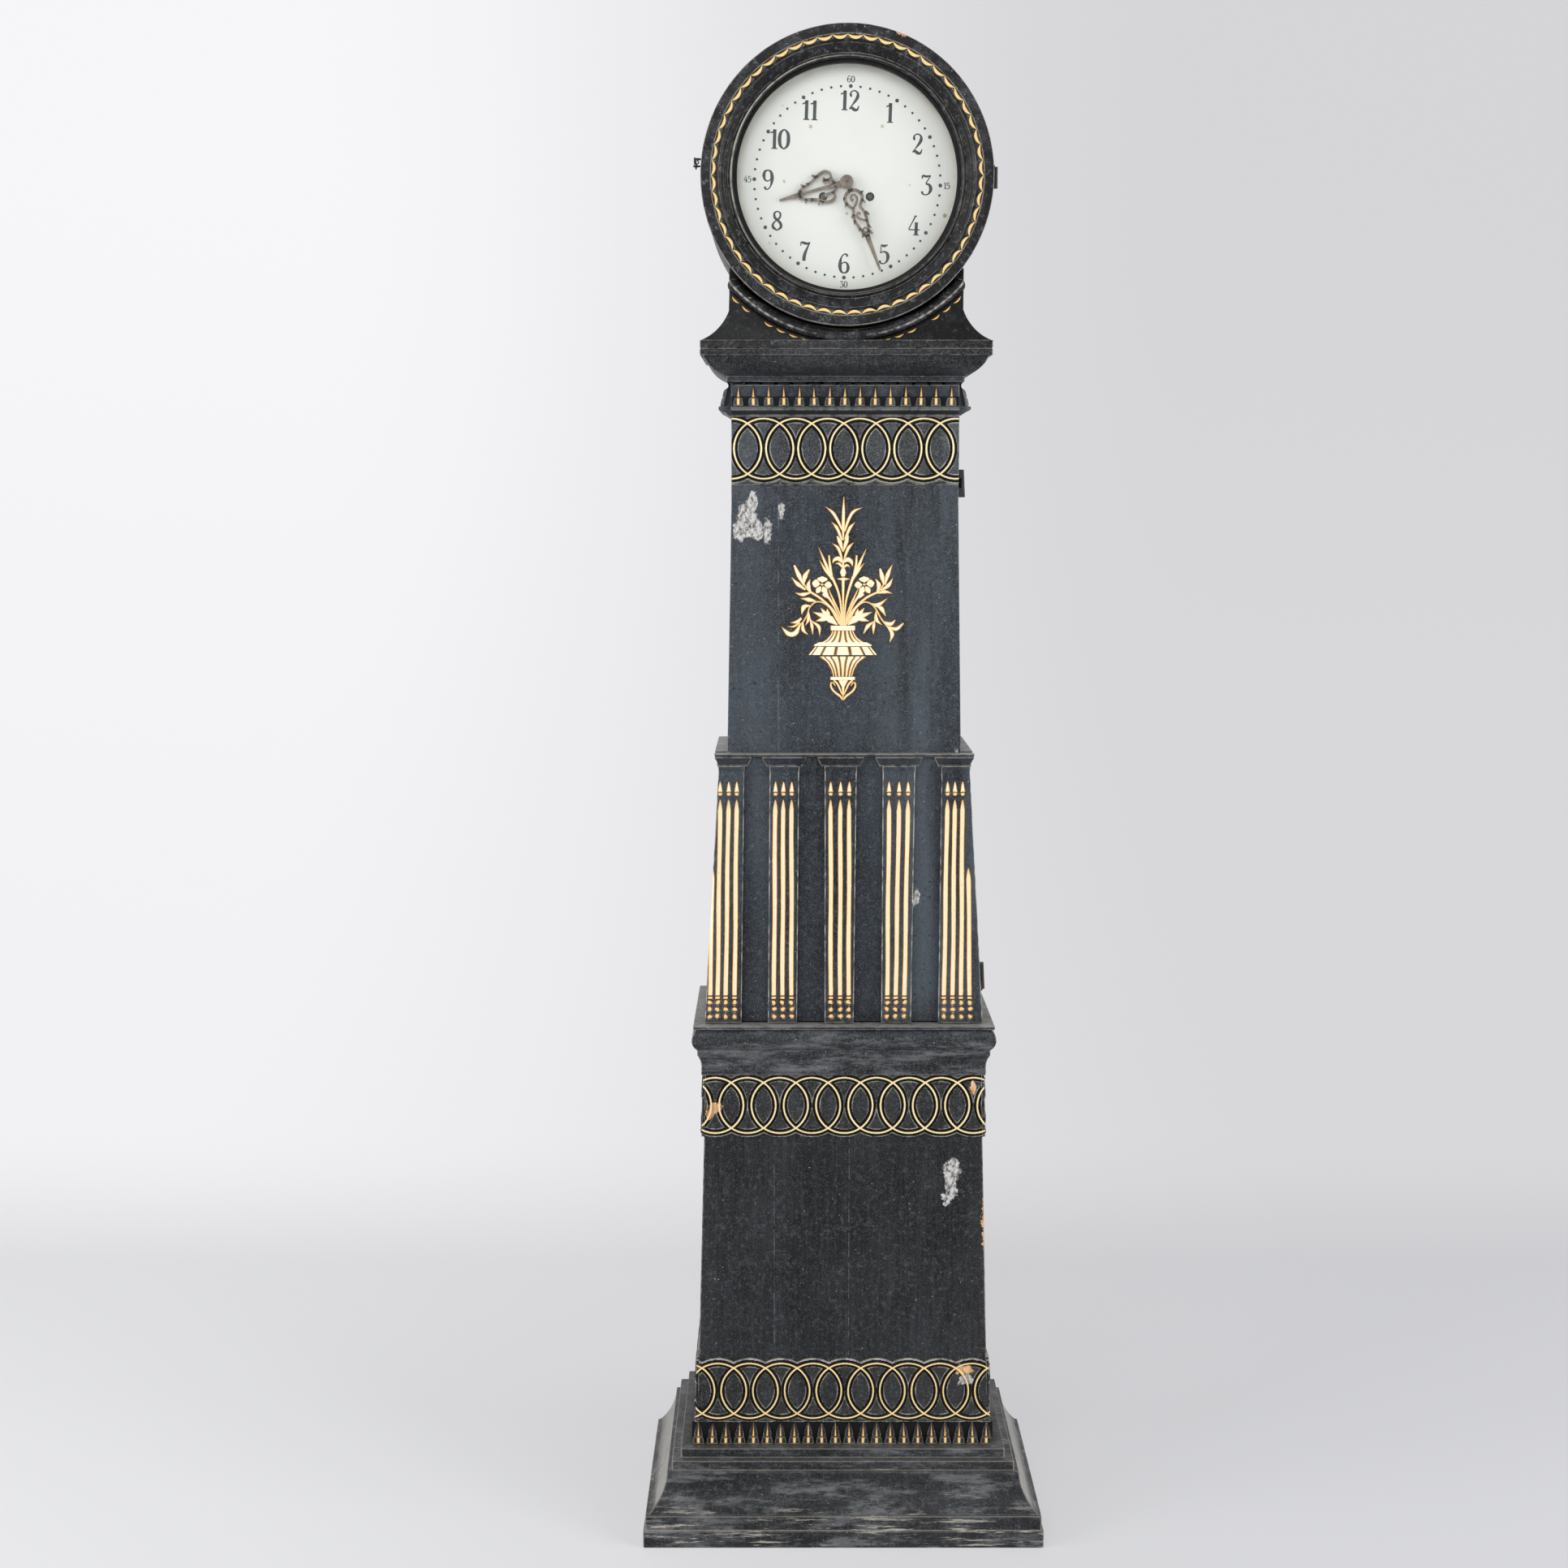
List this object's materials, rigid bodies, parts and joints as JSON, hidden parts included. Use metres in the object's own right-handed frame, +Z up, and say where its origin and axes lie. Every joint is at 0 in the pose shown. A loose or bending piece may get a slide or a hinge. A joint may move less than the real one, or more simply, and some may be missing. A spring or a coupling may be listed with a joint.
{
  "type": "longcase clock",
  "caption": "Tall black longcase clock with gilded carving: moulded plinth, tapering case with a full-height trunk door, round glazed head, weight-driven pendulum movement.",
  "frame": {"origin": "on the floor at the centre of the plinth's box", "axes": "+Z up, front towards -Y, +X to the right seen from the front"},
  "size_m": [0.569, 0.3246, 2.1],
  "materials": {
    "black_wood": "black oil paint over carved wood, worn through at edges",
    "gilded_wood": "carved wood, bronzed gold on the raised ornament",
    "bare_wood": "unpainted pine inside",
    "brass": "old cast brass",
    "iron": "forged or cast iron",
    "steel": "filed steel",
    "dial_paint": "off-white painted sheet iron, plain numerals",
    "glass": "thin old glass",
    "gut": "twisted gut"
  },
  "bodies": {
    "case": {"plinth_front": "black_wood", "plinth_sides": "black_wood", "base_front": "black_wood", "base_left": "black_wood", "base_right": "black_wood", "base_bottom": "bare_wood", "base_ring_band": "gilded_wood", "waist_ring_band": "gilded_wood", "waist_moulding_front": "black_wood", "waist_moulding_sides": "black_wood", "trunk_left": "black_wood", "trunk_right": "black_wood", "side_trim": "black_wood", "cornice_front": "black_wood", "cornice_sides": "black_wood", "neck_front": "black_wood", "neck_sides": "black_wood", "cradle_moulding": "black_wood", "head_drum": "black_wood", "head_ring": "black_wood", "back_board": "bare_wood", "case_hinge_leaves": "iron", "hook_eye": "iron", "dial_plate": "dial_paint", "seat_board": "bare_wood", "front_plate": "brass", "back_plate": "brass", "bells": "brass", "time_line": "gut", "strike_line": "gut"},
    "trunk_door": {"door_panel": "black_wood", "door_frieze": "gilded_wood", "door_ring_band": "gilded_wood", "door_vase": "gilded_wood", "door_pilasters": "black_wood", "door_hinge_leaves": "iron"},
    "bezel": {"bezel_ring": "black_wood", "bezel_glass": "glass", "bezel_hinge_leaf": "iron"},
    "hook": {"bezel_hook": "iron"},
    "time_barrel": {"time_barrel": "brass"},
    "strike_barrel": {"strike_barrel": "brass"},
    "time_weight": {"time_weight": "iron"},
    "strike_weight": {"strike_weight": "iron"},
    "time_great_wheel": {"time_great_wheel": "brass"},
    "strike_great_wheel": {"strike_great_wheel": "brass"},
    "centre_arbor": {"centre_arbor": "brass", "minute_hand": "brass"},
    "third_wheel": {"third_wheel": "brass"},
    "escape_wheel": {"escape_wheel": "brass"},
    "minute_wheel": {"minute_wheel": "brass"},
    "hour_wheel": {"hour_wheel": "brass", "hour_hand": "brass"},
    "pin_wheel": {"pin_wheel": "brass"},
    "fly": {"fly": "brass"},
    "hammer": {"hammer": "iron"},
    "anchor": {"anchor": "steel"},
    "pendulum": {"pendulum_rod": "steel", "pendulum_bob": "brass", "rating_nut": "brass"}
  },
  "joints": [
    {"name": "trunk_door_swing", "type": "hinge", "parent": "case", "child": "trunk_door", "pos_m": [0.1969, -0.0468, 0.805], "axis": [-0.0484, 0.0393, 0.9981], "range_deg": [0, 100]},
    {"name": "bezel_swing", "type": "hinge", "parent": "case", "child": "bezel", "pos_m": [0.1996, -0.06725, 1.904], "axis": [0, 0, 1], "range_deg": [0, 110]},
    {"name": "hook_lift", "type": "hinge", "parent": "bezel", "child": "hook", "pos_m": [-0.2035, -0.08, 1.926], "axis": [1, 0, 0], "range_deg": [0, 100]},
    {"name": "time_weight_drop", "type": "slide", "parent": "case", "child": "time_weight", "axis": [0, 0, -1], "range_m": [-0.1, 0.9], "deforming": ["time_line"]},
    {"name": "strike_weight_drop", "type": "slide", "parent": "case", "child": "strike_weight", "axis": [0, 0, -1], "range_m": [-0.1, 0.9], "deforming": ["strike_line"]},
    {"name": "time_winding", "type": "hinge", "parent": "case", "child": "time_barrel", "pos_m": [0.0317, 0.01, 1.881], "axis": [0, 1, 0], "range_deg": [-3248.2, 365.4]},
    {"name": "strike_winding", "type": "hinge", "parent": "case", "child": "strike_barrel", "pos_m": [-0.0317, 0.01, 1.881], "axis": [0, 1, 0], "range_deg": [-3248.2, 365.4]},
    {"name": "time_great_wheel_turn", "type": "hinge", "parent": "case", "child": "time_great_wheel", "pos_m": [0.0317, 0.01, 1.881], "axis": [0, 1, 0], "continuous": true},
    {"name": "minute_hand_turn", "type": "hinge", "parent": "case", "child": "centre_arbor", "pos_m": [0, 0.01, 1.9], "axis": [0, 1, 0], "continuous": true},
    {"name": "third_wheel_turn", "type": "hinge", "parent": "case", "child": "third_wheel", "pos_m": [0.01215, 0.01, 1.92104], "axis": [0, 1, 0], "continuous": true},
    {"name": "escape_wheel_turn", "type": "hinge", "parent": "case", "child": "escape_wheel", "pos_m": [0, 0.01, 1.93899], "axis": [0, 1, 0], "continuous": true},
    {"name": "minute_wheel_turn", "type": "hinge", "parent": "case", "child": "minute_wheel", "pos_m": [0, -0.03, 1.88], "axis": [0, 1, 0], "continuous": true},
    {"name": "hour_hand_turn", "type": "hinge", "parent": "case", "child": "hour_wheel", "pos_m": [0, -0.04, 1.9], "axis": [0, 1, 0], "continuous": true},
    {"name": "strike_great_wheel_turn", "type": "hinge", "parent": "case", "child": "strike_great_wheel", "pos_m": [-0.0317, 0.01, 1.881], "axis": [0, 1, 0], "continuous": true},
    {"name": "pin_wheel_turn", "type": "hinge", "parent": "case", "child": "pin_wheel", "pos_m": [-0.0419, 0.01, 1.90889], "axis": [0, 1, 0], "continuous": true},
    {"name": "fly_turn", "type": "hinge", "parent": "case", "child": "fly", "pos_m": [-0.0339, 0.01, 1.92896], "axis": [0, 1, 0], "continuous": true},
    {"name": "hammer_lift", "type": "hinge", "parent": "case", "child": "hammer", "pos_m": [-0.058, 0.048, 1.935], "axis": [0, 1, 0], "range_deg": [-12, 0], "stiffness_Nm_per_rad": 0.05, "springref_deg": 8.59},
    {"name": "pendulum_swing", "type": "hinge", "parent": "case", "child": "pendulum", "pos_m": [0, 0.057, 1.96399], "axis": [0, 1, 0], "range_deg": [-2.5, 2.5]},
    {"name": "anchor_rock", "type": "hinge", "parent": "case", "child": "anchor", "pos_m": [0, 0.015, 1.96399], "axis": [0, 1, 0], "range_deg": [-2.6, 2.6]}
  ],
  "couplings": [
    {"joint": "time_winding", "follows": "time_weight_drop", "rad_per_m": -62.893},
    {"joint": "strike_winding", "follows": "strike_weight_drop", "rad_per_m": -62.893},
    {"joint": "minute_hand_turn", "follows": "time_great_wheel_turn", "ratio": -12},
    {"joint": "third_wheel_turn", "follows": "time_great_wheel_turn", "ratio": 96},
    {"joint": "escape_wheel_turn", "follows": "time_great_wheel_turn", "ratio": -720},
    {"joint": "minute_wheel_turn", "follows": "time_great_wheel_turn", "ratio": 4},
    {"joint": "hour_hand_turn", "follows": "time_great_wheel_turn", "ratio": -1},
    {"joint": "pin_wheel_turn", "follows": "strike_great_wheel_turn", "ratio": -10},
    {"joint": "fly_turn", "follows": "strike_great_wheel_turn", "ratio": 80},
    {"joint": "anchor_rock", "follows": "pendulum_swing", "ratio": 1}
  ]
}
